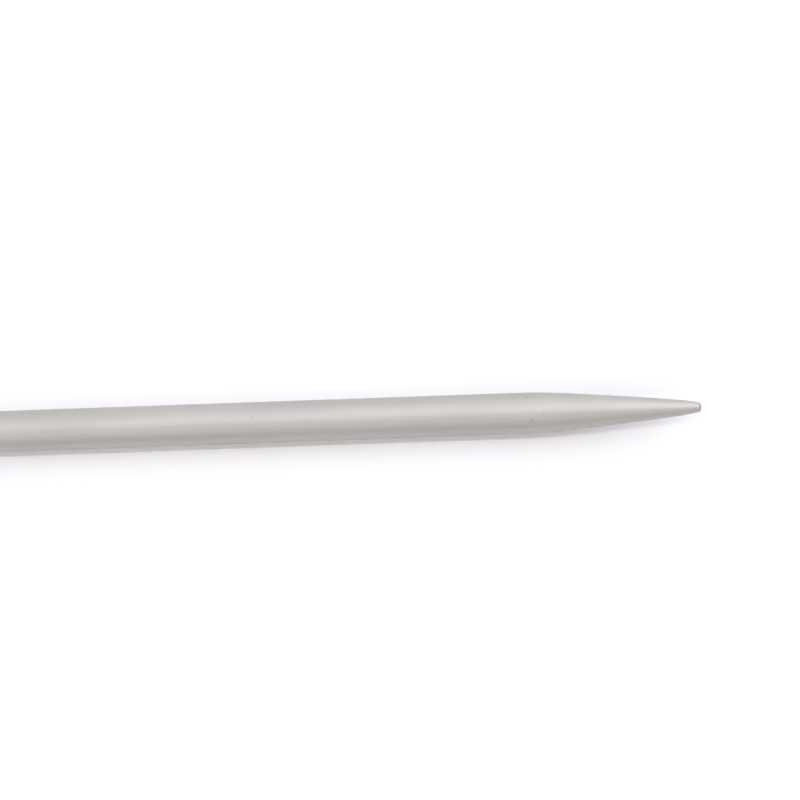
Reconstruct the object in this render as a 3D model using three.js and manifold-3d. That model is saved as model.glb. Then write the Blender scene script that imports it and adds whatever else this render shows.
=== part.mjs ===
// A single-pointed knitting needle. Its shaft is a drawn aluminium tube, swaged down at one end
// to a long blunt point that closes the bore. A moulded head slips over the tube's tail, and a
// ribbed plug driven through the head into the bore locks the two together.
//
// The needle lies along +X with +Z up. The origin is the centre of the head's flat end face, and
// the point is at x = OVERALL_LENGTH. All sizes are in millimetres.

import * as THREE from "three";
import { mergeVertices } from "three/addons/utils/BufferGeometryUtils.js";
import Module from "manifold-3d";

// The needle as it is sold: its gauge is the diameter that sets the size of a stitch.
const GAUGE = 5.0;
const OVERALL_LENGTH = 300.0;

// The tube and its point.
const TUBE_WALL = 0.8;
const TUBE_END_CHAMFER = 0.2;
const POINT_LENGTH = 21.8;
const POINT_SHOULDER_RADIUS = 64.0;
const NOSE_DIAMETER = 1.3;
const NOSE_EDGE_RADIUS = 0.42;

// The head: a neck round the tube, a rim that stops the stitches, and a web that the tube's tail
// butts on.
const HEAD_LENGTH = 11.5;
const NECK_WALL = 1.0;
const NECK_DRAFT_DEGREES = 3.5;
const NECK_LIP_RADIUS = 0.4;
const SOCKET_LEAD_IN = 0.25;
const RIM_OVERHANG = 2.2;
const RIM_THICKNESS = 3.0;
const RIM_EDGE_RADIUS = 0.6;
const FLARE_RADIUS = 1.5;
const WEB_THICKNESS = 2.0;

// The plug: a flange let into the rim, flush with it, and a stem with ribs that grip the bore.
const RIM_WALL = 1.9;
const FLANGE_THICKNESS = 1.2;
const FLANGE_CHAMFER = 0.15;
const STEM_LENGTH = 13.0;
const STEM_LEAD_IN = 0.6;
const RIB_COUNT = 6;
const RIB_HEIGHT = 0.22;
const RIB_WIDTH = 0.45;
const RIB_LENGTH = 7.5;

// Clearances between pieces, each measured on the radius.
const SOCKET_CLEARANCE = 0.05;
const RIB_CLEARANCE = 0.04;
const WEB_HOLE_CLEARANCE = 0.06;
const FLANGE_CLEARANCE = 0.08;

// How finely round shapes are faceted.
const TURNED_SEGMENTS = 60;
const SHOULDER_STEPS = 12;
const NOSE_STEPS = 7;
const EDGE_STEPS = 5;
const FLARE_STEPS = 8;
const BORE_END_STEPS = 12;

const SQUARE = Math.PI / 2;

const shaftRadius = GAUGE / 2;
const boreRadius = shaftRadius - TUBE_WALL;
const tubeTail = FLANGE_THICKNESS + WEB_THICKNESS;
const pointStart = OVERALL_LENGTH - POINT_LENGTH;

const socketRadius = shaftRadius + SOCKET_CLEARANCE;
const mouthRadius = socketRadius + NECK_WALL;
const neckDraft = THREE.MathUtils.degToRad(NECK_DRAFT_DEGREES);
const rimRadius = neckRadiusAt(RIM_THICKNESS) + RIM_OVERHANG;
const recessRadius = rimRadius - RIM_WALL;
const ribRadius = boreRadius - RIB_CLEARANCE;

const wasm = await Module();
wasm.setup();

// An outline is a list of [along the needle, radius]. It goes round the solid so that its outer
// surfaces run towards the needle's point.
function turned(outline) {
  const points = outline.map(([along, radius]) => new THREE.Vector2(radius, along));
  return new THREE.LatheGeometry(points, TURNED_SEGMENTS).rotateZ(-SQUARE);
}

// Points on an arc about a centre on the outline, from one angle to another. An angle of 0 looks
// along the needle towards its point, and a square angle looks straight out from its axis.
function arc(along, radius, arcRadius, from, to, steps) {
  return Array.from({ length: steps + 1 }, (_, i) => {
    const angle = from + ((to - from) * i) / steps;
    return [along + arcRadius * Math.cos(angle), radius + arcRadius * Math.sin(angle)];
  });
}

function solid(geometry) {
  const bare = geometry.clone();
  bare.deleteAttribute("normal");
  bare.deleteAttribute("uv");
  const merged = mergeVertices(bare);
  return new wasm.Manifold(
    new wasm.Mesh({
      numProp: 3,
      vertProperties: new Float32Array(merged.attributes.position.array),
      triVerts: new Uint32Array(merged.index.array),
    }),
  );
}

function geometryOf(made) {
  const mesh = made.getMesh();
  const geometry = new THREE.BufferGeometry();
  geometry.setAttribute("position", new THREE.BufferAttribute(mesh.vertProperties, 3));
  geometry.setIndex(new THREE.BufferAttribute(mesh.triVerts, 1));
  geometry.computeVertexNormals();
  return geometry;
}

// The point is a straight cone that leaves the tube through a wide, shallow shoulder. The cone is
// tangent to the shoulder and meets the nose's diameter at the very end, which sets its angle.
function coneAngle() {
  const drop = shaftRadius - NOSE_DIAMETER / 2;
  const fromCentre = Math.hypot(POINT_LENGTH, POINT_SHOULDER_RADIUS - drop);
  return (
    Math.atan2(POINT_LENGTH, POINT_SHOULDER_RADIUS - drop) -
    Math.acos(POINT_SHOULDER_RADIUS / fromCentre)
  );
}

// The point's outer radius at a place along the needle, before the nose is rounded.
function pointRadiusAt(along) {
  const angle = coneAngle();
  const past = along - pointStart;
  if (past < POINT_SHOULDER_RADIUS * Math.sin(angle)) {
    return shaftRadius - POINT_SHOULDER_RADIUS + Math.sqrt(POINT_SHOULDER_RADIUS ** 2 - past ** 2);
  }
  return NOSE_DIAMETER / 2 + (OVERALL_LENGTH - along) * Math.tan(angle);
}

// The shoulder, the cone and a small flat nose with a rounded edge.
function pointOutline() {
  const angle = coneAngle();
  const roundingPerRadius = 1 / Math.cos(angle) - Math.tan(angle);
  const noseEdge = Math.min(NOSE_EDGE_RADIUS, (0.45 * NOSE_DIAMETER) / roundingPerRadius);
  const shoulderCentre = shaftRadius - POINT_SHOULDER_RADIUS;
  const noseCentre = NOSE_DIAMETER / 2 - noseEdge * roundingPerRadius;
  return [
    ...arc(
      pointStart,
      shoulderCentre,
      POINT_SHOULDER_RADIUS,
      SQUARE,
      SQUARE - angle,
      SHOULDER_STEPS,
    ),
    ...arc(OVERALL_LENGTH - noseEdge, noseCentre, noseEdge, SQUARE - angle, 0, NOSE_STEPS),
    [OVERALL_LENGTH, 0],
  ];
}

// Swaging squeezes the tube down but leaves as much metal in each section, so the wall thickens
// as the point gets thinner, until the bore has closed.
function boreOutline() {
  const metalSection = shaftRadius ** 2 - boreRadius ** 2;
  const closedRadius = Math.sqrt(metalSection);
  const closed = OVERALL_LENGTH - (closedRadius - NOSE_DIAMETER / 2) / Math.tan(coneAngle());
  const outline = [[closed, 0]];
  for (let i = 1; i <= BORE_END_STEPS; i += 1) {
    const along = closed - (closed - pointStart) * (i / BORE_END_STEPS) ** 2;
    outline.push([along, Math.sqrt(pointRadiusAt(along) ** 2 - metalSection)]);
  }
  return outline;
}

function shaftGeometry() {
  const chamfer = Math.min(TUBE_END_CHAMFER, TUBE_WALL / 3);
  return turned([
    ...boreOutline(),
    [tubeTail + chamfer, boreRadius],
    [tubeTail, boreRadius + chamfer],
    [tubeTail, shaftRadius - chamfer],
    [tubeTail + chamfer, shaftRadius],
    ...pointOutline(),
  ]);
}

// The neck's outer radius, which grows towards the rim by the mould's draft.
function neckRadiusAt(along) {
  return mouthRadius + (HEAD_LENGTH - along) * Math.tan(neckDraft);
}

// The rim with both its edges rounded.
function rimOutline() {
  const edge = Math.min(RIM_EDGE_RADIUS, 0.45 * RIM_THICKNESS, 0.45 * RIM_WALL);
  const edgeCentre = rimRadius - edge;
  return [
    ...arc(edge, edgeCentre, edge, 2 * SQUARE, SQUARE, EDGE_STEPS),
    ...arc(RIM_THICKNESS - edge, edgeCentre, edge, SQUARE, 0, EDGE_STEPS),
  ];
}

// The neck with a hollow flare at its foot and a rounded lip at its mouth. The flare touches both
// the rim's front face and the neck's slope, and the lip touches the slope and the mouth.
function neckOutline() {
  const room = RIM_OVERHANG - RIM_EDGE_RADIUS;
  const flare = Math.min(FLARE_RADIUS, 0.95 * room);
  const flareAlong = RIM_THICKNESS + flare;
  const flareCentre = neckRadiusAt(flareAlong) + flare / Math.cos(neckDraft);
  const lip = Math.min(NECK_LIP_RADIUS, 0.45 * NECK_WALL);
  const lipAlong = HEAD_LENGTH - lip;
  const lipCentre = neckRadiusAt(lipAlong) - lip / Math.cos(neckDraft);
  return [
    ...arc(flareAlong, flareCentre, flare, -2 * SQUARE, -SQUARE - neckDraft, FLARE_STEPS),
    ...arc(lipAlong, lipCentre, lip, SQUARE - neckDraft, 0, EDGE_STEPS),
  ];
}

function headGeometry() {
  const leadIn = Math.min(SOCKET_LEAD_IN, NECK_WALL / 3);
  const webHoleRadius = ribRadius + WEB_HOLE_CLEARANCE;
  const outline = [
    [0, recessRadius],
    ...rimOutline(),
    ...neckOutline(),
    [HEAD_LENGTH, socketRadius + leadIn],
    [HEAD_LENGTH - leadIn, socketRadius],
    [tubeTail, socketRadius],
    [tubeTail, webHoleRadius],
    [FLANGE_THICKNESS, webHoleRadius],
    [FLANGE_THICKNESS, recessRadius],
  ];
  return turned([...outline, outline[0]]);
}

// One rib of the plug's stem. Its foot is sunk in the core, its top stays inside the rib circle
// across its whole width, and its tip slopes to lead in.
function ribGeometry(coreRadius) {
  const tip = STEM_LENGTH - STEM_LEAD_IN;
  const foot = coreRadius / 2;
  const top = Math.sqrt(ribRadius ** 2 - (RIB_WIDTH / 2) ** 2);
  const side = new THREE.Shape([
    new THREE.Vector2(tip - RIB_LENGTH, foot),
    new THREE.Vector2(tip, foot),
    new THREE.Vector2(tip - RIB_HEIGHT, top),
    new THREE.Vector2(tip - RIB_LENGTH, top),
  ]);
  const rib = new THREE.ExtrudeGeometry(side, { depth: RIB_WIDTH, bevelEnabled: false });
  return rib.translate(0, 0, -RIB_WIDTH / 2);
}

function plugGeometry() {
  const coreRadius = ribRadius - RIB_HEIGHT;
  const flangeRadius = recessRadius - FLANGE_CLEARANCE;
  const chamfer = Math.min(FLANGE_CHAMFER, FLANGE_THICKNESS / 3);
  const leadIn = Math.min(STEM_LEAD_IN, coreRadius / 2);
  let plug = solid(
    turned([
      [0, 0],
      [0, flangeRadius - chamfer],
      [chamfer, flangeRadius],
      [FLANGE_THICKNESS, flangeRadius],
      [FLANGE_THICKNESS, coreRadius],
      [STEM_LENGTH - leadIn, coreRadius],
      [STEM_LENGTH, coreRadius - leadIn / 2],
      [STEM_LENGTH, 0],
    ]),
  );
  for (let i = 0; i < RIB_COUNT; i += 1) {
    const turn = (i * 2 * Math.PI) / RIB_COUNT;
    plug = plug.add(solid(ribGeometry(coreRadius).rotateX(turn)));
  }
  return geometryOf(plug);
}

function finish(color, roughness, metalness) {
  return new THREE.MeshStandardMaterial({ color, roughness, metalness });
}

const anodisedAluminium = finish(0xbab7b4, 0.45, 1.0);
const mouldedPlastic = finish(0x8d8b89, 0.5, 0.0);

function piece(name, geometry, material) {
  const mesh = new THREE.Mesh(geometry, material);
  mesh.name = name;
  return mesh;
}

const needle = new THREE.Group();
needle.add(
  piece("shaft", shaftGeometry(), anodisedAluminium),
  piece("head", headGeometry(), mouldedPlastic),
  piece("head_plug", plugGeometry(), mouldedPlastic),
);

export default needle;
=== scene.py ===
"""The looks of a single-pointed knitting needle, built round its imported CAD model.

The needle lies along +X: its head's flat end is at the origin and its point is at the far end.
Sizes are in metres, with MM for those given in millimetres. The three pieces are the swaged
aluminium shaft, the moulded head and the ribbed plug that locks the two together.
"""

import logging
import math
from collections.abc import Callable, Iterable
from dataclasses import dataclass
from enum import Enum, IntEnum

import bmesh
import bpy
from bpy.types import ID, Material, Mesh, Node, NodeSocket, NodeTree, Object
from mathutils import Matrix, Vector


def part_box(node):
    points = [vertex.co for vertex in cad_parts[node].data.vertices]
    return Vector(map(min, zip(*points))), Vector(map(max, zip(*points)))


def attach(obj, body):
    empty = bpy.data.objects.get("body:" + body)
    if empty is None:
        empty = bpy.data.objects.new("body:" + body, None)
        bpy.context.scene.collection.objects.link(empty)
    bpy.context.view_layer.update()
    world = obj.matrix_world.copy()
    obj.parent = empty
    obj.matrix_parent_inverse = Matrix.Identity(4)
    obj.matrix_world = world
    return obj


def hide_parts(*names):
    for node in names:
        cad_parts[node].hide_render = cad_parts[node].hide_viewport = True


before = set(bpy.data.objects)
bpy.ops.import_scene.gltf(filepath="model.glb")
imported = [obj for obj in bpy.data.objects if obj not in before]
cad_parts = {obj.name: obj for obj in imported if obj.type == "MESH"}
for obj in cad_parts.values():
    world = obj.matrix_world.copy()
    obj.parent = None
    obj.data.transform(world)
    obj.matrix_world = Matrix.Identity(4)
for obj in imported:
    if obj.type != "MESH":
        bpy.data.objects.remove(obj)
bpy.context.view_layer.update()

MM = 0.001
BODY = "root"
SEW_DISTANCE = 0.002 * MM
SHARP_EDGE = math.radians(32.0)
SQUARE = math.pi / 2
ALONG = Vector((1.0, 0.0, 0.0))
WHITE = (1.0, 1.0, 1.0, 1.0)
NOISE_MIDDLE = 0.5

# A rule is a row of steps. Each names its result, the operation and what it works on: a size, an
# earlier result, a node or a plain number.
Rule = tuple[tuple, ...]

# What carries a value in a node tree: a socket, or a node for its first output.
Carrier = Node | NodeSocket

log = logging.getLogger("knitting_needle")


def linear(colour: str) -> tuple[float, float, float, float]:
    """Turns an sRGB hex colour into Blender's linear one.

    Args:
        colour: Six hex digits after a hash.

    Returns:
        Linear red, green and blue, and an alpha of 1.
    """
    shares = [int(colour[i:i + 2], 16) / 255.0 for i in (1, 3, 5)]
    red, green, blue = [s / 12.92 if s <= 0.04045 else ((s + 0.055) / 1.055) ** 2.4 for s in shares]
    return red, green, blue, 1.0


def add(tree: NodeTree, kind: str, inputs: dict | None = None, **settings: object) -> Node:
    """Adds a node, sets it up and fills or links its inputs.

    Args:
        tree: The node tree that takes the node.
        kind: Blender's name for the type of node.
        inputs: By socket name or number, a plain value, a socket, or a node for its first output.
        **settings: The node's own properties.

    Returns:
        The new node.
    """
    node = tree.nodes.new(kind)
    for name, value in settings.items():
        setattr(node, name, value)
    for key, value in (inputs or {}).items():
        named = [s for s in node.inputs if s.enabled and s.name == key]
        socket = named[0] if named else node.inputs[key]
        if isinstance(value, Node):
            value = next(s for s in value.outputs if s.enabled)
        if isinstance(value, NodeSocket):
            tree.links.new(value, socket)
        else:
            socket.default_value = value
    return node


def new_material(name: str) -> Material:
    """Makes a material with an empty node tree.

    Args:
        name: The material's name.

    Returns:
        The material.
    """
    material = bpy.data.materials.new(name)
    material.use_nodes = True
    material.node_tree.nodes.clear()
    return material


def new_object(name: str, data: ID) -> Object:
    """Puts a mesh, a text, a lamp or a camera into the scene.

    Args:
        name: The object's name.
        data: What it shows.

    Returns:
        The object, at the origin.
    """
    made = bpy.data.objects.new(name, data)
    bpy.context.scene.collection.objects.link(made)
    return made


def finished_mesh(source: Object) -> Mesh:
    """Makes a plain mesh of an object as its modifiers shape it.

    Args:
        source: The object, with its modifiers set.

    Returns:
        The mesh.
    """
    bpy.context.view_layer.update()
    evaluated = source.evaluated_get(bpy.context.evaluated_depsgraph_get())
    return bpy.data.meshes.new_from_object(evaluated)


def work_out(tree: NodeTree, rule: Rule, known: dict[str, Carrier]) -> dict[str, Carrier]:
    """Adds the nodes that work out a rule, one for each of its steps.

    Args:
        tree: The node tree that takes the nodes.
        rule: The rule's steps in order.
        known: What carries each named size.

    Returns:
        What carries each size and each step's result, by name.
    """
    found = dict(known)
    for result, operation, *terms in rule:
        inputs = {i: found.get(term, term) for i, term in enumerate(terms)}
        found[result] = add(tree, "ShaderNodeMath", inputs, operation=operation)
    return found


def new_shape_tree(
    name: str, lengths: Iterable[str] = (), counts: Iterable[str] = ("Segments",)
) -> tuple[NodeTree, dict[str, NodeSocket]]:
    """Makes an empty Geometry Nodes tree with named inputs for a piece's sizes.

    Args:
        name: The tree's name.
        lengths: The names of the inputs that take a number.
        counts: The names of those that take a whole number.

    Returns:
        The tree and what carries each of its inputs, by name.
    """
    tree = bpy.data.node_groups.new(name, "GeometryNodeTree")
    inputs = {"Geometry": "Geometry"} | dict.fromkeys(lengths, "Float")
    inputs |= dict.fromkeys(counts, "Int") | {"Finish": "Material"}
    for size, kind in inputs.items():
        tree.interface.new_socket(size, in_out="INPUT", socket_type=f"NodeSocket{kind}")
    tree.interface.new_socket("Geometry", in_out="OUTPUT", socket_type="NodeSocketGeometry")
    given = add(tree, "NodeGroupInput")
    return tree, {socket.name: socket for socket in given.outputs if socket.name}


def end_shape_tree(tree: NodeTree, shape: Node, finish: NodeSocket) -> None:
    """Closes a tree: instances are made real, sharp edges marked and the material set.

    Args:
        tree: The tree to close.
        shape: The node that gives the finished shape.
        finish: The socket that carries its material.
    """
    real = add(tree, "GeometryNodeRealizeInstances", {"Geometry": shape})
    angle = add(tree, "GeometryNodeInputMeshEdgeAngle")
    sharp = add(tree, "FunctionNodeCompare", {"A": angle.outputs["Unsigned Angle"], "B": SHARP_EDGE})
    smooth = add(tree, "GeometryNodeSetShadeSmooth", {"Geometry": real, "Shade Smooth": True})
    creases = {"Geometry": smooth, "Selection": sharp, "Shade Smooth": False}
    edged = add(tree, "GeometryNodeSetShadeSmooth", creases, domain="EDGE")
    dressed = add(tree, "GeometryNodeSetMaterial", {"Geometry": edged, "Material": finish})
    add(tree, "NodeGroupOutput", {"Geometry": dressed})


def turn_round_axis(tree: NodeTree, outline: Carrier, segments: NodeSocket) -> Node:
    """Turns an outline round the needle's axis, as a lathe would.

    A grid with a row for each point of the outline is wrapped round the axis, and its seam and
    poles are sewn.

    Args:
        tree: The tree that takes the nodes.
        outline: What gives the outline's points in order, each along X at its radius up Z.
        segments: How many flats the round has.

    Returns:
        The node that gives the turned body.
    """
    size = add(tree, "GeometryNodeAttributeDomainSize", {"Geometry": outline})
    columns = add(tree, "FunctionNodeIntegerMath", {0: segments, 1: 1})
    counts = {"Vertices X": size.outputs["Point Count"], "Vertices Y": columns}
    grid = add(tree, "GeometryNodeMeshGrid", counts)
    index = add(tree, "GeometryNodeInputIndex")
    row = add(tree, "FunctionNodeIntegerMath", {0: index, 1: columns}, operation="DIVIDE_FLOOR")
    column = add(tree, "FunctionNodeIntegerMath", {0: index, 1: columns}, operation="MODULO")
    place = add(tree, "GeometryNodeInputPosition")
    sample = {"Geometry": outline, "Value": place, "Index": row}
    point = add(tree, "GeometryNodeSampleIndex", sample, data_type="FLOAT_VECTOR")
    share = add(tree, "ShaderNodeMath", {0: column, 1: segments}, operation="DIVIDE")
    angle = add(tree, "ShaderNodeMath", {0: share, 1: math.tau}, operation="MULTIPLY")
    turn = {"Vector": point, "Angle": angle}
    turned = add(tree, "ShaderNodeVectorRotate", turn, rotation_type="X_AXIS")
    wrapped = add(tree, "GeometryNodeSetPosition", {"Geometry": grid, "Position": turned})
    outwards = add(tree, "GeometryNodeFlipFaces", {"Mesh": wrapped})
    return add(tree, "GeometryNodeMergeByDistance", {"Geometry": outwards, "Distance": SEW_DISTANCE})


def line_mesh(name: str, points: list[Vector]) -> Mesh:
    """Makes a mesh of one unbroken line of edges.

    Args:
        name: The mesh's name.
        points: The line's points in order.

    Returns:
        The mesh.
    """
    mesh = bpy.data.meshes.new(name)
    mesh.from_pydata(points, [(i, i + 1) for i in range(len(points) - 1)], [])
    return mesh


def shape_piece(name: str, base: Mesh, tree: NodeTree, values: dict[str, object]) -> Object:
    """Runs a Geometry Nodes tree on a base mesh and keeps the result as a plain mesh.

    Args:
        name: The piece's name.
        base: What the tree starts from.
        tree: The tree that shapes the piece.
        values: A value for each of the tree's named inputs.

    Returns:
        The finished piece, at the origin and with no modifier.
    """
    piece = new_object(name, base)
    shaping = piece.modifiers.new("Shaping", "NODES")
    shaping.node_group = tree
    for item in tree.interface.items_tree:
        if item.in_out == "INPUT" and item.name in values:
            shaping[item.identifier] = values[item.name]
    shaped = finished_mesh(piece)
    shaped.name = name
    shaped.materials.clear()
    shaped.materials.append(values["Finish"])
    piece.modifiers.remove(shaping)
    piece.data = shaped
    return piece


def cut(piece: Object, tool: Object) -> None:
    """Cuts a tool's shape out of a piece and removes the tool.

    Args:
        piece: The piece that is cut.
        tool: A closed shape, placed where it cuts.
    """
    cutting = piece.modifiers.new("Cutting", "BOOLEAN")
    cutting.operation = "DIFFERENCE"
    cutting.solver = "EXACT"
    cutting.object = tool
    result = finished_mesh(piece)
    result.name = piece.name
    piece.modifiers.remove(cutting)
    piece.data = result
    result.set_sharp_from_angle(angle=SHARP_EDGE)
    bpy.data.objects.remove(tool)


def spread(start: float, end: float, steps: int) -> list[float]:
    """Evenly spaced values from start to end, with both of them."""
    return [start + (end - start) * i / steps for i in range(steps + 1)]


def eased(start: float, end: float, value: float) -> float:
    """Smooth step from 0 at start to 1 at end."""
    share = min(1.0, max(0.0, (value - start) / (end - start)))
    return share * share * (3 - 2 * share)


def rim_point(along: float, out: float) -> Vector:
    """One point of an outline, from its place along the needle and its distance from the axis."""
    return Vector((along, 0.0, out))


def arc(along: float, out: float, radius: float, start: float, end: float, steps: int) -> list[Vector]:
    """Points on an arc of an outline.

    Args:
        along: The centre's place along the needle.
        out: The centre's distance from the axis.
        radius: The arc's radius.
        start: First angle. 0 looks towards the needle's point and a quarter turn straight out.
        end: Last angle.
        steps: How many chords the arc has.

    Returns:
        The points from start to end, each along X and up Z.
    """
    turns = spread(start, end, steps)
    return [rim_point(along + radius * math.cos(a), out + radius * math.sin(a)) for a in turns]


class MarkKind(Enum):
    """What a mark on the metal looks like, by the colour that shows in it. The one at the nose's end is
    painted shade on its rounded end, not a mark of use.
    """

    SCRATCH = "#7C7672"
    RUB = "#F4F0EE"
    PIT = "#5E5652"
    RUSTY_SPECK = "#9C5A48"
    # Painted shade, darkening the rounded end of the nose.
    PAINTED_NOSE_SHADE = "#7E7872"


@dataclass(frozen=True)
class Mark:
    """One small mark of use on the metal, or the painted shade at the nose's end, with its place and
    size in millimetres.

    Attributes:
        aside: How far off the top it is, towards -Y.
        turn: Its turn off the needle's direction, in degrees.
        strength: How much of its colour shows in its middle.
    """

    kind: MarkKind
    from_tip: float
    aside: float
    length: float
    width: float
    turn: float
    strength: float


MARKS = (
    Mark(MarkKind.RUSTY_SPECK, 20.63, 0.97, 0.62, 0.38, 12.0, 0.29),
    Mark(MarkKind.SCRATCH, 19.09, 0.18, 0.62, 0.22, -45.0, 0.30),
    Mark(MarkKind.RUB, 19.74, -0.30, 1.60, 0.80, -25.0, 0.06),
    Mark(MarkKind.PIT, 22.50, 1.64, 0.42, 0.36, 0.0, 0.18),
    Mark(MarkKind.PIT, 21.10, 1.70, 0.60, 0.50, 0.0, 0.12),
    Mark(MarkKind.PIT, 21.05, -1.91, 1.10, 0.22, 0.0, 0.30),
    Mark(MarkKind.PIT, 22.76, -2.11, 1.80, 0.22, 0.0, 0.16),
    Mark(MarkKind.PIT, 16.92, 2.13, 1.10, 0.26, -5.0, 0.32),
    Mark(MarkKind.PIT, 16.22, 1.34, 0.30, 0.24, 0.0, 0.15),
    Mark(MarkKind.PIT, 53.95, -0.44, 0.44, 0.16, 60.0, 0.48),
    # Painted shade on the rounded end of the nose, where it turns from the light.
    Mark(MarkKind.PAINTED_NOSE_SHADE, 0.0, 0.0, 0.62, 2.60, 0.0, 0.60),
)


@dataclass(frozen=True)
class AnodisedAluminium:
    """Drawn aluminium tube, etched and then anodised pearl grey.

    Etching and anodising leave the metal satin: lights spread wide over it and nothing is
    mirrored. The oxide layer gives it a faint warm tint. What drawing and swaging did to the tube
    still shows, as very faint lines along it and slow changes of brightness.

    Attributes:
        tip: How far along the needle its tip is.
        skin_radius: Gives the radius of the skin, on which the marks lie, at a distance from the tip.
        grazing_tint: What is left of the light that glances off the metal.
        cloud_from, cloud_to: The levels of the noise between which a cloud comes up.
        cloud_gloss, line_gloss: How much of the roughness comes and goes with clouds and lines.
        mark_core: The share of a mark's size inside which it has its full strength.
        mark_depth: How deep its colour reaches, so that it lies on the round skin.
    """

    tip: float
    skin_radius: Callable[[float], float]
    colour: str = "#C6C2BE"
    cloud_colour: str = "#C2BEBA"
    grazing_tint: str = "#D2D2D4"
    roughness: float = 0.60
    cloud_length: float = 12.0 * MM
    cloud_width: float = 3.0 * MM
    cloud_from: float = 0.35
    cloud_to: float = 0.65
    cloud_gloss: float = 0.04
    line_length: float = 28.0 * MM
    line_width: float = 0.17 * MM
    line_gloss: float = 0.06
    grain: float = 0.2 * MM
    grain_depth: float = 0.007 * MM
    line_depth: float = 0.004 * MM
    mark_core: float = 0.35
    mark_depth: float = 1.2 * MM

    def material(self) -> Material:
        """Makes the material.

        Returns:
            The satin metal with its lines, clouds, grain and marks, and painted shade at the nose's
            end.
        """
        material = new_material("pearl_grey_anodised_aluminium")
        tree = material.node_tree
        place = add(tree, "ShaderNodeTexCoord").outputs["Object"]

        # Slow clouds show where the oxide is a little thicker, longer along the tube than round it.
        # Real lines of the drawing die are a few hundredths of a millimetre apart and the grain of
        # etching is finer still, so both are drawn coarse enough to show.
        clouded, drawn = (
            add(tree, "ShaderNodeMapping", {"Vector": place, "Scale": (1 / long, 1 / wide, 1 / wide)})
            for long, wide in (
                (self.cloud_length, self.cloud_width),
                (self.line_length, self.line_width),
            )
        )
        cloud, line, grain = (
            add(tree, "ShaderNodeTexNoise", {"Vector": where, "Scale": scale, "Detail": detail})
            for where, scale, detail in (
                (clouded, 1.0, 3.0),
                (drawn, 1.0, 2.0),
                (place, 1 / self.grain, 2.0),
            )
        )
        clouds = {"Value": cloud, "From Min": self.cloud_from, "From Max": self.cloud_to}
        cloud_share = add(tree, "ShaderNodeMapRange", clouds)
        tints = {"Factor": cloud_share, "A": linear(self.colour), "B": linear(self.cloud_colour)}
        colour = add(tree, "ShaderNodeMix", tints, data_type="RGBA")
        # The marks darken or lighten the colour, and the last one is painted shade at the nose's end.
        for mark in MARKS:
            colour = self.marked(tree, place, colour, mark)

        rule = (
            ("line off", "SUBTRACT", line, NOISE_MIDDLE),
            ("cloud off", "SUBTRACT", cloud, NOISE_MIDDLE),
            ("from lines", "MULTIPLY_ADD", "line off", self.line_gloss, self.roughness),
            ("roughness", "MULTIPLY_ADD", "cloud off", self.cloud_gloss, "from lines"),
            ("line height", "MULTIPLY", line, self.line_depth),
            ("height", "MULTIPLY_ADD", grain, self.grain_depth, "line height"),
        )
        found = work_out(tree, rule, {})
        bump = add(tree, "ShaderNodeBump", {"Height": found["height"], "Distance": 1.0})
        look = {
            "Base Color": colour,
            "Specular Tint": linear(self.grazing_tint),
            "Roughness": found["roughness"],
            "Normal": bump,
            "Metallic": 1.0,
        }
        surface = add(tree, "ShaderNodeBsdfPrincipled", look)
        add(tree, "ShaderNodeOutputMaterial", {"Surface": surface})
        return material

    def marked(self, tree: NodeTree, place: NodeSocket, colour: Node, mark: Mark) -> Node:
        """Adds one mark to the metal's colour.

        Args:
            tree: The material's node tree.
            place: The socket that carries the place on the piece.
            colour: The node that gives the colour so far.
            mark: The mark.

        Returns:
            The node that gives the colour with the mark in it.
        """
        from_tip = mark.from_tip * MM
        radius = self.skin_radius(from_tip)
        off_top = math.asin(mark.aside * MM / radius)
        spot = (self.tip - from_tip, -radius * math.sin(off_top), radius * math.cos(off_top))
        facing = Matrix.Rotation(off_top, 3, "X") @ Matrix.Rotation(math.radians(mark.turn), 3, "Z")
        span = (mark.length * MM / 2, mark.width * MM / 2, self.mark_depth)
        seat = {"Vector": place, "Location": spot, "Rotation": facing.to_euler(), "Scale": span}
        local = add(tree, "ShaderNodeMapping", seat, vector_type="TEXTURE")
        off_middle = add(tree, "ShaderNodeVectorMath", {0: local}, operation="LENGTH")
        fade = {"Value": off_middle, "From Min": 1.0, "From Max": self.mark_core}
        fade["To Max"] = mark.strength
        share = add(tree, "ShaderNodeMapRange", fade, interpolation_type="SMOOTHSTEP")
        tints = {"Factor": share, "A": colour, "B": linear(mark.kind.value)}
        return add(tree, "ShaderNodeMix", tints, data_type="RGBA")


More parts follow.
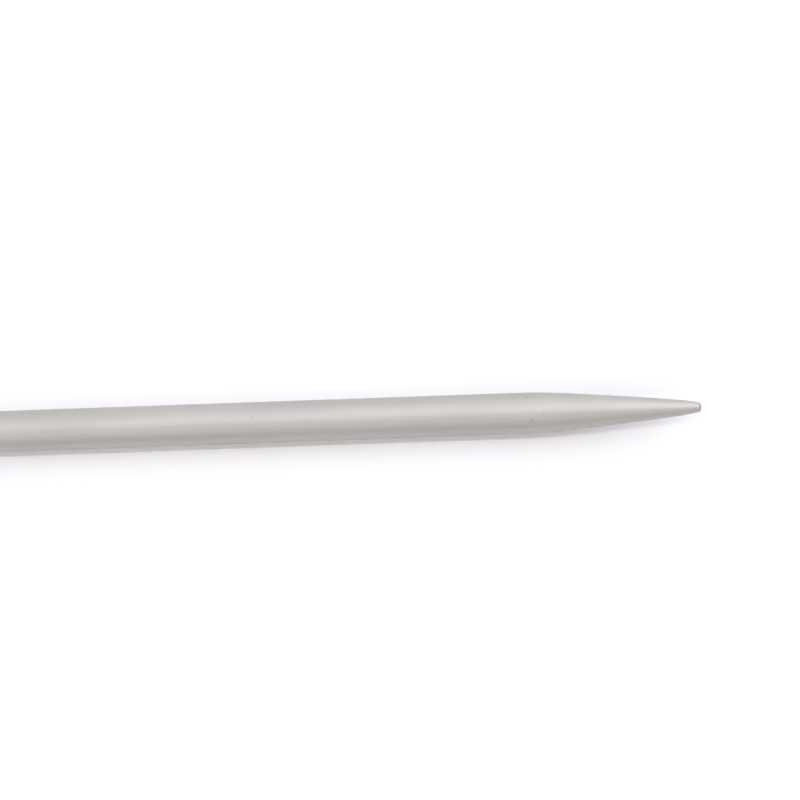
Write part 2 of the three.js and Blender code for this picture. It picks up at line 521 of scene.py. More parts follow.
@dataclass(frozen=True)
class MouldedPlastic:
    """Injection-moulded ABS with the fine satin texture of an eroded mould.

    The texture breaks the highlight up into a soft sheen, and the flow of the plastic leaves very
    faint clouds in its colour. Hands and table tops rub the outermost edge smooth in patches.

    Attributes:
        flow_colour: The plastic's colour where the flow has thinned the pigment.
        rubbed_colour: Its colour where it is rubbed smooth.
        edge_radius: How far from the axis the rubbed edge is.
        rub_reach: How far in from the edge the rub reaches.
        rub_from, rub_to: The levels of the noise between which a rubbed patch comes up.
        rub_gloss, rub_wear: What the rub takes from the roughness and from the grain's depth.
        grain_gloss: How much of the roughness comes and goes with the grain.
    """

    name: str
    colour: str
    flow_colour: str
    rubbed_colour: str
    edge_radius: float
    roughness: float = 0.42
    ior: float = 1.53
    flow: float = 3.5 * MM
    rub: float = 1.4 * MM
    rub_reach: float = 0.35 * MM
    rub_from: float = 0.38
    rub_to: float = 0.66
    rub_gloss: float = 0.14
    rub_wear: float = 0.7
    grain: float = 0.16 * MM
    grain_depth: float = 0.010 * MM
    grain_gloss: float = 0.16

    def material(self) -> Material:
        """Makes the material.

        Returns:
            The satin plastic with its moulded grain.
        """
        material = new_material(self.name)
        tree = material.node_tree
        place = add(tree, "ShaderNodeTexCoord").outputs["Object"]

        # The grain of an eroded mould is under a tenth of a millimetre, so it is drawn coarser.
        flow, grain, patches = (
            add(tree, "ShaderNodeTexNoise", {"Vector": place, "Scale": 1 / size, "Detail": detail})
            for size, detail in ((self.flow, 3.0), (self.grain, 2.0), (self.rub, 2.0))
        )
        flows = {"Factor": flow, "A": linear(self.colour), "B": linear(self.flow_colour)}
        moulded = add(tree, "ShaderNodeMix", flows, data_type="RGBA")

        # The rub fades inwards from the edge and comes and goes round it.
        split = add(tree, "ShaderNodeSeparateXYZ", {0: place}).outputs
        out_rule = (
            ("y square", "MULTIPLY", split["Y"], split["Y"]),
            ("out square", "MULTIPLY_ADD", split["Z"], split["Z"], "y square"),
            ("out", "SQRT", "out square"),
        )
        out = work_out(tree, out_rule, {})["out"]
        inner = self.edge_radius - self.rub_reach
        reach = {"Value": out, "From Min": inner, "From Max": self.edge_radius}
        at_edge = add(tree, "ShaderNodeMapRange", reach, interpolation_type="SMOOTHSTEP")
        levels = {"Value": patches, "From Min": self.rub_from, "From Max": self.rub_to}
        in_patch = add(tree, "ShaderNodeMapRange", levels)
        wear_rule = (
            ("rubbed", "MULTIPLY", at_edge, in_patch),
            ("grain off", "SUBTRACT", grain, NOISE_MIDDLE),
            ("unrubbed", "MULTIPLY_ADD", "grain off", self.grain_gloss, self.roughness),
            ("roughness", "MULTIPLY_ADD", "rubbed", -self.rub_gloss, "unrubbed"),
            ("worn down", "MULTIPLY_ADD", "rubbed", -self.rub_wear, 1.0),
            ("depth", "MULTIPLY", "worn down", self.grain_depth),
            ("height", "MULTIPLY", grain, "depth"),
        )
        found = work_out(tree, wear_rule, {})
        wear = {"Factor": found["rubbed"], "A": moulded, "B": linear(self.rubbed_colour)}
        colour = add(tree, "ShaderNodeMix", wear, data_type="RGBA")
        bump = add(tree, "ShaderNodeBump", {"Height": found["height"], "Distance": 1.0})
        look = {"Base Color": colour, "Roughness": found["roughness"], "Normal": bump, "IOR": self.ior}
        surface = add(tree, "ShaderNodeBsdfPrincipled", look)
        add(tree, "ShaderNodeOutputMaterial", {"Surface": surface})
        return material


class Surface(IntEnum):
    """What a station of the shaft's outline lies on, which gives its radius."""

    AXIS = 0
    BORE = 1
    SKIN = 2


@dataclass
class Shaft:
    """The drawn tube, swaged at one end to a point that closes its bore.

    A shoulder leads from the shank into the point, which bellies out a little, as swaging leaves
    it. Polishing then crowns its end. Belly and crown are so shallow that a parabola stands for
    the arc of each.

    Attributes:
        tail: Where the tube begins, inside the head.
        tip: Where the point ends.
        radius: Half the needle's gauge.
        shoulder_turn: How far the shoulder turns the skin inwards.
    """

    tail: float
    tip: float
    radius: float
    wall: float = 0.8 * MM
    tail_chamfer: float = 0.2 * MM
    point_length: float = 21.8 * MM
    shoulder_radius: float = 64.0 * MM
    shoulder_turn: float = math.radians(4.52)
    belly_radius: float = 520.0 * MM
    crown_length: float = 3.2 * MM
    crown_radius: float = 35.0 * MM
    nose_edge: float = 0.42 * MM
    bore_steps: int = 20
    shank_steps: int = 11
    shoulder_steps: int = 12
    belly_steps: int = 16
    crown_steps: int = 10
    nose_steps: int = 12
    segments: int = 160

    # Swaging leaves as much metal in each section, so the wall thickens until the bore has closed.
    RULE = (
        ("past", "SUBTRACT", "along", "Point Start"),
        ("in point", "MAXIMUM", "past", 0.0),
        ("in shoulder", "MINIMUM", "in point", "Shoulder Length"),
        ("in belly", "SUBTRACT", "in point", "in shoulder"),
        ("shoulder square", "MULTIPLY", "Shoulder Radius", "Shoulder Radius"),
        ("in square", "MULTIPLY", "in shoulder", "in shoulder"),
        ("rise square", "SUBTRACT", "shoulder square", "in square"),
        ("rise", "SQRT", "rise square"),
        ("sink", "SUBTRACT", "Shoulder Radius", "rise"),
        ("shoulder", "SUBTRACT", "Radius", "sink"),
        ("slope fall", "MULTIPLY", "in belly", "Belly Slope"),
        ("belly square", "MULTIPLY", "in belly", "in belly"),
        ("belly fall", "MULTIPLY_ADD", "belly square", "Belly Curve", "slope fall"),
        ("off crown", "SUBTRACT", "along", "Crown Start"),
        ("in crown", "MAXIMUM", "off crown", 0.0),
        ("crown square", "MULTIPLY", "in crown", "in crown"),
        ("fall", "MULTIPLY_ADD", "crown square", "Crown Curve", "belly fall"),
        ("swaged", "SUBTRACT", "shoulder", "fall"),
        ("off nose", "SUBTRACT", "along", "Nose Middle"),
        ("off square", "MULTIPLY", "off nose", "off nose"),
        ("edge square", "MULTIPLY", "Nose Edge", "Nose Edge"),
        ("over square", "SUBTRACT", "edge square", "off square"),
        ("over kept", "MAXIMUM", "over square", 0.0),
        ("over", "SQRT", "over kept"),
        ("nose", "ADD", "Nose Centre", "over"),
        ("in nose", "GREATER_THAN", "along", "Nose Start"),
        ("nose step", "SUBTRACT", "nose", "swaged"),
        ("skin", "MULTIPLY_ADD", "in nose", "nose step", "swaged"),
        ("skin square", "MULTIPLY", "skin", "skin"),
        ("bore square", "SUBTRACT", "skin square", "Metal Section"),
        ("bore kept", "MAXIMUM", "bore square", 0.0),
        ("bore", "SQRT", "bore kept"),
        ("off tail", "SUBTRACT", "along", "Tail"),
        ("to chamfer", "SUBTRACT", "Tail Chamfer", "off tail"),
        ("chamfer", "MAXIMUM", "to chamfer", 0.0),
        ("cut skin", "SUBTRACT", "skin", "chamfer"),
        ("cut bore", "ADD", "bore", "chamfer"),
    )

    @property
    def shoulder_length(self) -> float:
        """How far along the needle the shoulder reaches."""
        return self.shoulder_radius * math.sin(self.shoulder_turn)

    @property
    def tip_turn(self) -> float:
        """The angle at which the skin runs into the nose's edge."""
        belly = (self.point_length - self.shoulder_length) / self.belly_radius
        return math.atan(math.tan(self.shoulder_turn) + belly + self.crown_length / self.crown_radius)

    @property
    def metal_section(self) -> float:
        """The tube's section of metal, over pi."""
        return self.radius**2 - (self.radius - self.wall) ** 2

    def skin_radius(self, from_tip: float) -> float:
        """The skin's radius, but for the rounding of the nose.

        Args:
            from_tip: The distance from the tip.

        Returns:
            The radius there.
        """
        in_point = max(0.0, self.point_length - from_tip)
        in_shoulder = min(in_point, self.shoulder_length)
        in_belly = in_point - in_shoulder
        in_crown = max(0.0, self.crown_length - from_tip)
        sink = self.shoulder_radius - math.sqrt(self.shoulder_radius**2 - in_shoulder**2)
        fall = in_belly * math.tan(self.shoulder_turn) + in_belly**2 / (2 * self.belly_radius)
        return self.radius - sink - fall - in_crown**2 / (2 * self.crown_radius)

    def closed_from_tip(self) -> float:
        """Finds where the bore has closed, which is where the skin holds nothing but the metal.

        Returns:
            The distance from the tip, by halving the stretch that it lies in.
        """
        halvings = 40
        near, far = 0.0, self.point_length
        for _ in range(halvings):
            middle = (near + far) / 2
            if self.skin_radius(middle) ** 2 < self.metal_section:
                near = middle
            else:
                far = middle
        return far

    def sizes(self) -> dict[str, float]:
        """The values of the tree's inputs, in metres.

        Returns:
            Each input's value by name.
        """
        turn = self.tip_turn
        rounding = 1 / math.cos(turn) - math.tan(turn)
        middle = self.tip - self.nose_edge
        return {
            "Radius": self.radius,
            "Tail": self.tail,
            "Tail Chamfer": self.tail_chamfer,
            "Point Start": self.tip - self.point_length,
            "Shoulder Radius": self.shoulder_radius,
            "Shoulder Length": self.shoulder_length,
            "Belly Slope": math.tan(self.shoulder_turn),
            "Belly Curve": 1 / (2 * self.belly_radius),
            "Crown Start": self.tip - self.crown_length,
            "Crown Curve": 1 / (2 * self.crown_radius),
            "Nose Start": middle + self.nose_edge * math.sin(turn),
            "Nose Middle": middle,
            "Nose Edge": self.nose_edge,
            "Nose Centre": self.skin_radius(0.0) - self.nose_edge * rounding,
            "Metal Section": self.metal_section,
        }

    def stations(self) -> list[tuple[float, Surface]]:
        """The places along the needle where the outline has a point.

        They run down the bore from its closed end to the tail, and back over the skin to the tip.

        Returns:
            Each station's place along the needle, and what it lies on.
        """
        start = self.tip - self.point_length
        belly_start = start + self.shoulder_length
        crown_start = self.tip - self.crown_length
        edge = self.tail + self.tail_chamfer
        closed = self.tip - self.closed_from_tip()
        bends = spread(SQUARE - self.tip_turn, 0.0, self.nose_steps)
        nose = [self.tip - self.nose_edge * (1 - math.cos(bend)) for bend in bends]
        shares = spread(0.0, 1.0, self.bore_steps)
        bore = [closed - (closed - start) * share**2 for share in shares[1:]]
        skin = [
            *spread(edge, start, self.shank_steps),
            *spread(start, belly_start, self.shoulder_steps)[1:],
            *spread(belly_start, crown_start, self.belly_steps)[1:],
            *spread(crown_start, nose[0], self.crown_steps)[1:-1],
            *nose,
        ]
        return [
            (closed, Surface.AXIS),
            *((along, Surface.BORE) for along in [*bore, edge, self.tail]),
            *((along, Surface.SKIN) for along in [self.tail, *skin]),
            (self.tip, Surface.AXIS),
        ]

    def tree(self) -> NodeTree:
        """Builds the tree that gives each station its radius and turns the outline.

        Returns:
            The Geometry Nodes tree.
        """
        tree, given = new_shape_tree("swaged tube", self.sizes())
        place = add(tree, "GeometryNodeInputPosition")
        along = add(tree, "ShaderNodeSeparateXYZ", {0: place}).outputs["X"]
        found = work_out(tree, self.RULE, given | {"along": along})
        surface = add(tree, "GeometryNodeInputNamedAttribute", {"Name": "surface"}, data_type="INT")

        # Input 0 takes the index. The axis has no link, so its radius is 0.
        radius = add(tree, "GeometryNodeIndexSwitch", {"Index": surface}, data_type="FLOAT")
        radius.index_switch_items.new()
        tree.links.new(found["cut bore"].outputs[0], radius.inputs[1 + Surface.BORE])
        tree.links.new(found["cut skin"].outputs[0], radius.inputs[1 + Surface.SKIN])
        point = add(tree, "ShaderNodeCombineXYZ", {"X": along, "Z": radius})
        placed = {"Geometry": given["Geometry"], "Position": point}
        outline = add(tree, "GeometryNodeSetPosition", placed)
        end_shape_tree(tree, turn_round_axis(tree, outline, given["Segments"]), given["Finish"])
        return tree

    def build(self) -> Object:
        """Builds and dresses the shaft.

        Returns:
            The finished piece.
        """
        stations = self.stations()
        base = line_mesh("shaft stations", [rim_point(along, 0.0) for along, _ in stations])
        surface = base.attributes.new("surface", "INT", "POINT")
        surface.data.foreach_set("value", [int(kind) for _, kind in stations])
        finish = AnodisedAluminium(self.tip, self.skin_radius)
        values = self.sizes() | {"Segments": self.segments, "Finish": finish.material()}
        piece = shape_piece("swaged_shaft", base, self.tree(), values)
        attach(piece, BODY)
        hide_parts("shaft")
        return piece


@dataclass
class Head:
    """The moulded head: a neck round the tube, a rim that stops the stitches and a web inside.

    Attributes:
        length: From the flat end to the neck's mouth.
        rim_radius: The rim's radius over the parting bead.
        shaft_radius: The radius of the tube that it is pressed on.
        tube_tail: Where the tube butts on the web.
    """

    length: float
    rim_radius: float
    shaft_radius: float
    tube_tail: float
    neck_wall: float = 1.0 * MM
    neck_draft: float = math.radians(3.5)
    lip: float = 0.4 * MM
    lead_in: float = 0.25 * MM
    socket_clearance: float = 0.05 * MM
    rim_thickness: float = 3.0 * MM
    rim_edge: float = 0.6 * MM
    rim_wall: float = 1.9 * MM
    rim_draft: float = math.radians(1.0)
    bead_height: float = 0.03 * MM
    bead_width: float = 0.14 * MM
    flare: float = 1.5 * MM
    recess_depth: float = 1.2 * MM
    web_hole_radius: float = 1.72 * MM
    bead_steps: int = 6
    edge_steps: int = 10
    flare_steps: int = 16
    segments: int = 160

    def neck_radius(self, along: float) -> float:
        """The neck's outer radius, which grows towards the rim by the mould's draft."""
        mouth = self.shaft_radius + self.socket_clearance + self.neck_wall
        return mouth + (self.length - along) * math.tan(self.neck_draft)

    def rim(self) -> list[Vector]:
        """The rim's outline, with both edges rounded and the parting bead round its middle.

        The rim's side falls a little from its middle to both edges, so that it leaves the mould.

        Returns:
            The points from the end face to the front face.
        """
        middle = self.rim_thickness / 2
        side = self.rim_radius - self.bead_height
        edge_side = side - (middle - self.rim_edge) * math.tan(self.rim_draft)
        centre = edge_side - self.rim_edge
        bead = [
            rim_point(middle - self.bead_width / 2 * math.cos(a), side + self.bead_height * math.sin(a))
            for a in spread(0.0, 2 * SQUARE, self.bead_steps)
        ]
        front = self.rim_thickness - self.rim_edge
        return [
            *arc(self.rim_edge, centre, self.rim_edge, 2 * SQUARE, SQUARE, self.edge_steps),
            *bead,
            *arc(front, centre, self.rim_edge, SQUARE, 0.0, self.edge_steps),
        ]

    def neck(self) -> list[Vector]:
        """The neck's outline, with the hollow flare at its foot and the rounded lip at its mouth.

        Returns:
            The points from the rim's front face to the mouth.
        """
        slant = 1 / math.cos(self.neck_draft)
        foot = self.rim_thickness + self.flare
        foot_out = self.neck_radius(foot) + self.flare * slant
        mouth = self.length - self.lip
        mouth_out = self.neck_radius(mouth) - self.lip * slant
        return [
            *arc(foot, foot_out, self.flare, -2 * SQUARE, -SQUARE - self.neck_draft, self.flare_steps),
            *arc(mouth, mouth_out, self.lip, SQUARE - self.neck_draft, 0.0, self.edge_steps),
        ]

    def tree(self) -> NodeTree:
        """Builds the tree that turns the outline.

        Returns:
            The Geometry Nodes tree.
        """
        tree, given = new_shape_tree("turned head")
        turned = turn_round_axis(tree, given["Geometry"], given["Segments"])
        end_shape_tree(tree, turned, given["Finish"])
        return tree

    def build(self) -> Object:
        """Builds and dresses the head.

        Returns:
            The finished piece.
        """
        socket = self.shaft_radius + self.socket_clearance
        recess = self.rim_radius - self.rim_wall
        places = (
            (self.length, socket + self.lead_in),
            (self.length - self.lead_in, socket),
            (self.tube_tail, socket),
            (self.tube_tail, self.web_hole_radius),
            (self.recess_depth, self.web_hole_radius),
            (self.recess_depth, recess),
            (0.0, recess),
        )
        inside = [rim_point(*place) for place in places]
        outline = [inside[-1], *self.rim(), *self.neck(), *inside]
        colours = ("#8F8D8B", "#8A8886", "#9B9997")
        finish = MouldedPlastic("grey_moulded_abs", *colours, self.rim_radius)
        values = {"Segments": self.segments, "Finish": finish.material()}
        piece = shape_piece("needle_head", line_mesh("head outline", outline), self.tree(), values)
        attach(piece, BODY)
        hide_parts("head")
        return piece


@dataclass
class Plug:
    """The plug: a flange let into the head's end, and a ribbed stem driven into the tube's bore.

    Attributes:
        stem_length: From the end face to the stem's tip.
        flange_radius: The flange's radius.
        bore_radius: The tube's bore, which the ribs just clear.
        size_mark: The gauge in millimetres, as moulded into the end face.
        mark_size: The height of the text that it is set in.
    """

    stem_length: float
    flange_radius: float
    bore_radius: float
    flange_thickness: float = 1.2 * MM
    flange_edge: float = 0.15 * MM
    stem_lead_in: float = 0.6 * MM
    rib_count: int = 6
    rib_clearance: float = 0.04 * MM
    rib_height: float = 0.22 * MM
    rib_width: float = 0.45 * MM
    rib_length: float = 7.5 * MM
    size_mark: str = "5"
    mark_size: float = 5.0 * MM
    mark_depth: float = 0.15 * MM
    mark_steps: int = 8
    edge_steps: int = 5
    segments: int = 120

    # A rib is a block whose top edge is set back at its tip, to lead in. The ribs go round the stem.
    RIB_RULE = (
        ("rib depth", "SUBTRACT", "Rib Top", "Rib Foot"),
        ("both", "ADD", "Rib Top", "Rib Foot"),
        ("rib out", "MULTIPLY", "both", 0.5),
        ("half length", "MULTIPLY", "Rib Length", 0.5),
        ("rib along", "SUBTRACT", "Rib Tip", "half length"),
        ("step", "DIVIDE", math.tau, "Ribs"),
        ("turn", "MULTIPLY", "index", "step"),
        ("at tip", "GREATER_THAN", "along", 0.0),
        ("at top", "GREATER_THAN", "up", 0.0),
        ("at lead-in", "MULTIPLY", "at tip", "at top"),
        ("set back", "MULTIPLY", "at lead-in", "Rib Height"),
        ("shift", "MULTIPLY", "set back", -1.0),
    )

    def tree(self) -> NodeTree:
        """Builds the tree that turns the plug's body and sets its ribs round the stem.

        Returns:
            The Geometry Nodes tree.
        """
        lengths = ("Rib Length", "Rib Width", "Rib Height", "Rib Foot", "Rib Top", "Rib Tip")
        tree, given = new_shape_tree("ribbed plug", lengths, ("Ribs", "Segments"))
        turned = turn_round_axis(tree, given["Geometry"], given["Segments"])
        place = add(tree, "ShaderNodeSeparateXYZ", {0: add(tree, "GeometryNodeInputPosition")})
        index = add(tree, "GeometryNodeInputIndex")
        fields = {"along": place.outputs["X"], "up": place.outputs["Z"], "index": index}
        found = work_out(tree, self.RIB_RULE, given | fields)
        block = {"X": given["Rib Length"], "Y": given["Rib Width"], "Z": found["rib depth"]}
        cube = add(tree, "GeometryNodeMeshCube", {"Size": add(tree, "ShaderNodeCombineXYZ", block)})
        back = add(tree, "ShaderNodeCombineXYZ", {"X": found["shift"]})
        sloped = add(tree, "GeometryNodeSetPosition", {"Geometry": cube, "Offset": back})
        middle = add(tree, "ShaderNodeCombineXYZ", {"X": found["rib along"], "Z": found["rib out"]})
        rib = add(tree, "GeometryNodeTransform", {"Geometry": sloped, "Translation": middle})
        points = add(tree, "GeometryNodePoints", {"Count": given["Ribs"]})
        turns = add(tree, "ShaderNodeCombineXYZ", {"X": found["turn"]})
        copies = {"Points": points, "Instance": rib, "Rotation": turns}
        ring = add(tree, "GeometryNodeInstanceOnPoints", copies)
        ribs = add(tree, "GeometryNodeRealizeInstances", {"Geometry": ring})
        united = add(tree, "GeometryNodeMeshBoolean", operation="UNION", solver="EXACT")
        for solid in (turned, ribs):
            tree.links.new(solid.outputs[0], united.inputs["Mesh 2"])
        end_shape_tree(tree, united, given["Finish"])
        return tree

    def numeral(self) -> Object:
        """Makes the gauge in millimetres as a closed shape, ready to be cut into the end face.

        Returns:
            The numeral, which reads upright when the needle is seen from behind its head.
        """
        text = bpy.data.curves.new("gauge numeral", "FONT")
        text.body = self.size_mark
        text.size = self.mark_size
        text.align_x = text.align_y = "CENTER"
        text.extrude = self.mark_depth
        text.resolution_u = self.mark_steps
        holder = new_object("gauge numeral", text)
        mesh = finished_mesh(holder)
        bpy.data.objects.remove(holder)
        # The text's own right, up and front become the end face's.
        mesh.transform(Matrix(((0, 0, -1, 0), (-1, 0, 0, 0), (0, 1, 0, 0), (0, 0, 0, 1))))
        shape = bmesh.new()
        shape.from_mesh(mesh)
        bmesh.ops.remove_doubles(shape, verts=shape.verts, dist=SEW_DISTANCE)
        bmesh.ops.recalc_face_normals(shape, faces=shape.faces)
        shape.to_mesh(mesh)
        shape.free()
        return new_object("gauge numeral cutter", mesh)

    def build(self) -> Object:
        """Builds and dresses the plug.

        Returns:
            The finished piece.
        """
        rib_radius = self.bore_radius - self.rib_clearance
        core = rib_radius - self.rib_height
        edge = self.flange_edge
        outline = [
            rim_point(0.0, 0.0),
            *arc(edge, self.flange_radius - edge, edge, 2 * SQUARE, SQUARE, self.edge_steps),
            rim_point(self.flange_thickness, self.flange_radius),
            rim_point(self.flange_thickness, core),
            rim_point(self.stem_length - self.stem_lead_in, core),
            rim_point(self.stem_length, core - self.stem_lead_in / 2),
            rim_point(self.stem_length, 0.0),
        ]
        colours = ("#A3A19F", "#9D9B99", "#ABA9A7")
        finish = MouldedPlastic("light_grey_moulded_abs", *colours, self.flange_radius)
        values = {
            "Rib Length": self.rib_length,
            "Rib Width": self.rib_width,
            "Rib Height": self.rib_height,
            "Rib Foot": core / 2,
            "Rib Top": math.sqrt(rib_radius**2 - (self.rib_width / 2) ** 2),
            "Rib Tip": self.stem_length - self.stem_lead_in,
            "Ribs": self.rib_count,
            "Segments": self.segments,
            "Finish": finish.material(),
        }
        piece = shape_piece("size_plug", line_mesh("plug outline", outline), self.tree(), values)
        cut(piece, self.numeral())
        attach(piece, BODY)
        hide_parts("head_plug")
        return piece


@dataclass(frozen=True)
class Softbox:
    """A flat lamp that faces the needle's point.

    Attributes:
        round_degrees: Its turn about the needle, from straight up towards +Y.
        lean_degrees: Its lean towards the needle's point.
        distance: How far it is from what it faces.
        width: Its size round the needle.
        length: Its size along the needle.
        radiance: How bright its face is, where 1 is white.
    """

    name: str
    round_degrees: float
    lean_degrees: float
    distance: float
    width: float
    length: float
    radiance: float
    colour: str

    def place(self, aim: Vector) -> None:
        """Makes the lamp and turns it to what it faces.

        Args:
            aim: What it faces.
        """
        light = bpy.data.lights.new(self.name, "AREA")
        light.shape = "RECTANGLE"
        light.size = self.length
        light.size_y = self.width
        light.energy = self.radiance * math.pi * self.length * self.width
        light.color = linear(self.colour)[:3]
        turn, lean = math.radians(self.round_degrees), math.radians(self.lean_degrees)
        rise = math.cos(lean)
        away = Vector((math.sin(lean), rise * math.sin(turn), rise * math.cos(turn)))
        beside = ALONG - away * away.x
        beside.normalize()
        axes = Matrix((beside, away.cross(beside), away)).transposed()
        lamp = new_object(self.name, light)
        lamp.matrix_world = Matrix.Translation(aim + away * self.distance) @ axes.to_4x4()
        lamp.visible_camera = False


SOFTBOXES = (
    Softbox("strip_overhead", 10.0, 0.0, 1.0, 0.07, 2.4, 8.46, "#FEFDFB"),
    Softbox("softbox_far_tail", 43.5, -28.0, 1.0, 1.08, 1.03, 1.01, "#F8FBFF"),
    Softbox("softbox_far_point", 43.5, 28.0, 1.0, 1.08, 1.03, 2.14, "#F2F6FF"),
    Softbox("softbox_near_tail", -34.0, -28.0, 1.0, 0.64, 1.03, 1.69, "#FDFDFF"),
    Softbox("softbox_near_point", -38.0, 28.0, 1.0, 0.70, 1.03, 1.01, "#FFFEFB"),
)


@dataclass
class Studio:
    """White paper under the needle, a low white horizon round it and the lamps above.

    Attributes:
        needle_length: The needle's length, from the origin along +X.
        shank_radius: How far below the axis the paper lies under the shank.
        head_radius: How far below the axis it lies under the head.
        sag: How far it falls away beyond the point's shoulder.
        paper_light: Its colour in the light that it throws back, where a real sheet is less white.
        near, far: The distances from the needle between which it fades to plain white.
        dim: How bright the room is round the lamps.
        aim_share: What the lamps face, as a share of the needle's length.
        flat_rows: Rows of points beyond the bends, which keep the flat stretches evenly shaded.
    """

    needle_length: float
    shank_radius: float
    head_radius: float
    reach: float = 6.0
    wall_height: float = 1.3
    sink_from: float = 150.0 * MM
    sink_to: float = 15.0 * MM
    sag_from: float = 268.0 * MM
    sag_to: float = 330.0 * MM
    sag: float = 3.0 * MM
    paper: str = "#FFFDFF"
    paper_light: str = "#E6E6E6"
    near: float = 40.0 * MM
    far: float = 250.0 * MM
    dim: float = 0.08
    aim_share: float = 0.88
    sink_steps: int = 60
    sag_steps: int = 40
    flat_rows: tuple[float, ...] = (-1.0, -0.1, 0.4, 1.0)
    wall_sides: int = 96
    wall_share: float = 0.98

    def seen_rays(self, tree: NodeTree) -> Node:
        """Adds the test for rays that show the background: the camera's, mirrored and passing ones.

        Args:
            tree: The material's node tree.

        Returns:
            The node that gives 1 for those rays and 0 for the rest.
        """
        path = add(tree, "ShaderNodeLightPath").outputs
        rule = (
            ("camera or mirrored", "MAXIMUM", path["Is Camera Ray"], path["Is Glossy Ray"]),
            ("seen", "MAXIMUM", "camera or mirrored", path["Is Transmission Ray"]),
        )
        return work_out(tree, rule, {})["seen"]

    def paper_material(self) -> Material:
        """Makes the paper: matt white that keeps shadows near the needle and is plain white far off.

        Returns:
            The material.
        """
        material = new_material("white_paper")
        tree = material.node_tree
        seen = self.seen_rays(tree)
        tints = {"Factor": seen, "A": linear(self.paper_light), "B": linear(self.paper)}
        colour = add(tree, "ShaderNodeMix", tints, data_type="RGBA")
        matt = add(tree, "ShaderNodeBsdfDiffuse", {"Color": colour})
        place = add(tree, "ShaderNodeTexCoord").outputs["Object"]
        split = add(tree, "ShaderNodeSeparateXYZ", {0: place})
        nearest = add(tree, "ShaderNodeClamp", {"Value": split.outputs["X"], "Max": self.needle_length})
        axis = add(tree, "ShaderNodeCombineXYZ", {"X": nearest})
        off = add(tree, "ShaderNodeVectorMath", {0: place, 1: axis}, operation="DISTANCE")
        reach = {"Value": off, "From Min": self.near, "From Max": self.far}
        fade = add(tree, "ShaderNodeMapRange", reach, interpolation_type="SMOOTHSTEP")
        share = add(tree, "ShaderNodeMath", {0: seen, 1: fade}, operation="MULTIPLY")
        plain = add(tree, "ShaderNodeEmission", {"Color": WHITE, "Strength": 1.0})
        mixed = add(tree, "ShaderNodeMixShader", {0: share, 1: matt, 2: plain})
        add(tree, "ShaderNodeOutputMaterial", {"Surface": mixed})
        return material

    def wall_material(self) -> Material:
        """Makes the horizon: plain white to the rays that show it, and dark to the rest.

        Returns:
            The material.
        """
        material = new_material("white_horizon")
        tree = material.node_tree
        plain = add(tree, "ShaderNodeEmission", {"Color": WHITE, "Strength": self.seen_rays(tree)})
        add(tree, "ShaderNodeOutputMaterial", {"Surface": plain})
        return material

    def floor_height(self, along: float) -> float:
        """How high the paper lies: under the shank, sinking to clear the head and off the point.

        Args:
            along: The place along the needle.

        Returns:
            The height, which is below the needle's axis.
        """
        sunk = (self.head_radius - self.shank_radius) * eased(self.sink_from, self.sink_to, along)
        return -self.shank_radius - sunk - self.sag * eased(self.sag_from, self.sag_to, along)

    def build_floor(self) -> Object:
        """Builds the paper.

        Returns:
            The floor.
        """
        sunk = spread(self.sink_to, self.sink_from, self.sink_steps)
        sagged = spread(self.sag_from, self.sag_to, self.sag_steps)
        stations = sorted([-self.reach, self.reach, *self.flat_rows, *sunk, *sagged])
        points = [(x, y, self.floor_height(x)) for x in stations for y in (-self.reach, self.reach)]
        faces = [(2 * i, 2 * i + 2, 2 * i + 3, 2 * i + 1) for i in range(len(stations) - 1)]
        mesh = bpy.data.meshes.new("paper_floor")
        mesh.from_pydata(points, [], faces)
        mesh.shade_smooth()
        mesh.materials.append(self.paper_material())
        return new_object("paper_floor", mesh)

    def build_wall(self) -> Object:
        """Builds the low horizon round the floor.

        Returns:
            The backdrop.
        """
        sides = self.wall_sides
        radius = self.reach * self.wall_share
        turns = spread(0.0, math.tau, sides)[:sides]
        ring = [(radius * math.cos(a), radius * math.sin(a)) for a in turns]
        points = [(x, y, z) for z in (-self.head_radius, self.wall_height) for x, y in ring]
        faces = [(i, (i + 1) % sides, sides + (i + 1) % sides, sides + i) for i in range(sides)]
        mesh = bpy.data.meshes.new("horizon")
        mesh.from_pydata(points, [], faces)
        mesh.materials.append(self.wall_material())
        return new_object("horizon", mesh)

    def build(self) -> None:
        """Builds the floor, the horizon, the lamps and the dim world."""
        self.build_floor()
        self.build_wall()
        aim = ALONG * (self.needle_length * self.aim_share)
        for softbox in SOFTBOXES:
            softbox.place(aim)
        world = bpy.data.worlds.new("dim room")
        world.use_nodes = True
        tree = world.node_tree
        tree.nodes.clear()
        light = add(tree, "ShaderNodeBackground", {"Color": WHITE, "Strength": self.dim})
        add(tree, "ShaderNodeOutputWorld", {"Surface": light})
        bpy.context.scene.world = world


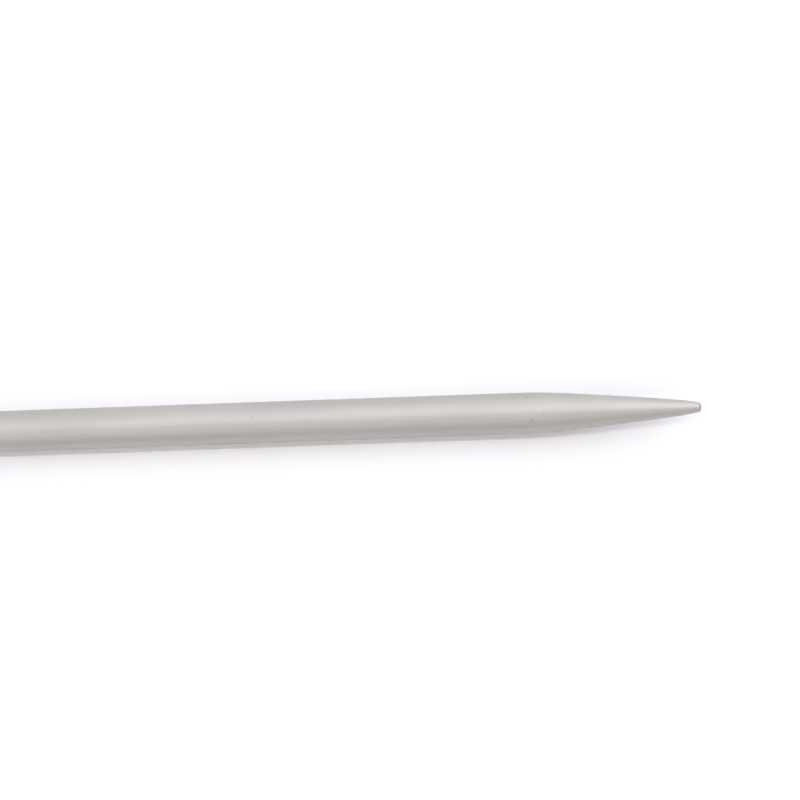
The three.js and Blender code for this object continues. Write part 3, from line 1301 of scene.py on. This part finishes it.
@dataclass(frozen=True)
class Camera:
    """The photograph's view: nearly straight down on the point end of the needle.

    Attributes:
        tip: How far along the needle its tip is.
        elevation: The camera's height above the floor, in degrees.
        roll: How far the needle is turned in the picture, in degrees.
        lens, sensor: The focal length and the sensor's width, in millimetres.
        pixels_per_mm: The needle's scale in the picture.
        tip_right, tip_down: How far the tip is from the picture's middle, on the needle.
    """

    tip: float
    elevation: float = 88.0
    roll: float = 2.02
    lens: float = 100.0
    sensor: float = 36.0
    frame_pixels: float = 800.0
    pixels_per_mm: float = 8.30
    tip_right: float = 36.26 * MM
    tip_down: float = 0.855 * MM

    def place(self) -> Object:
        """Makes the scene's camera.

        Returns:
            The camera.
        """
        rise, roll = math.radians(self.elevation), math.radians(self.roll)
        upright = Vector((0.0, math.sin(rise), math.cos(rise)))
        back = Vector((0.0, -math.cos(rise), math.sin(rise)))
        right = ALONG * math.cos(roll) - upright * math.sin(roll)
        up = ALONG * math.sin(roll) + upright * math.cos(roll)
        centre = ALONG * self.tip - right * self.tip_right + up * self.tip_down
        distance = self.frame_pixels / self.pixels_per_mm * MM * self.lens / self.sensor
        data = bpy.data.cameras.new("photo_view")
        data.lens = self.lens
        data.sensor_width = self.sensor
        camera = new_object("photo_view", data)
        axes = Matrix((right, up, back)).transposed()
        camera.matrix_world = Matrix.Translation(centre + back * distance) @ axes.to_4x4()
        bpy.context.scene.camera = camera
        return camera


def report(piece: Object) -> None:
    """Logs a piece's size in faces and millimetres.

    Args:
        piece: The finished piece.
    """
    corners = [vertex.co for vertex in piece.data.vertices]
    spans = [(max(c[i] for c in corners) - min(c[i] for c in corners)) / MM for i in range(3)]
    log.info("%s: %d faces, %.2f x %.2f x %.2f mm", piece.name, len(piece.data.polygons), *spans)


def main() -> None:
    logging.basicConfig(level=logging.INFO, format="%(name)s: %(message)s")
    bpy.context.scene.view_settings.view_transform = "Standard"

    tube_low, tube_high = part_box("shaft")
    shaft = Shaft(tail=tube_low.x, tip=tube_high.x, radius=tube_high.z)
    report(shaft.build())

    _, head_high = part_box("head")
    head = Head(head_high.x, head_high.z, shaft.radius, shaft.tail)
    report(head.build())

    _, plug_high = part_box("head_plug")
    plug = Plug(plug_high.x, plug_high.z, shaft.radius - shaft.wall)
    report(plug.build())

    Studio(shaft.tip, shaft.radius, head.rim_radius).build()
    camera = Camera(shaft.tip).place()
    log.info("camera %.3f m above the needle", camera.location.z)


if __name__ == "__main__":
    main()
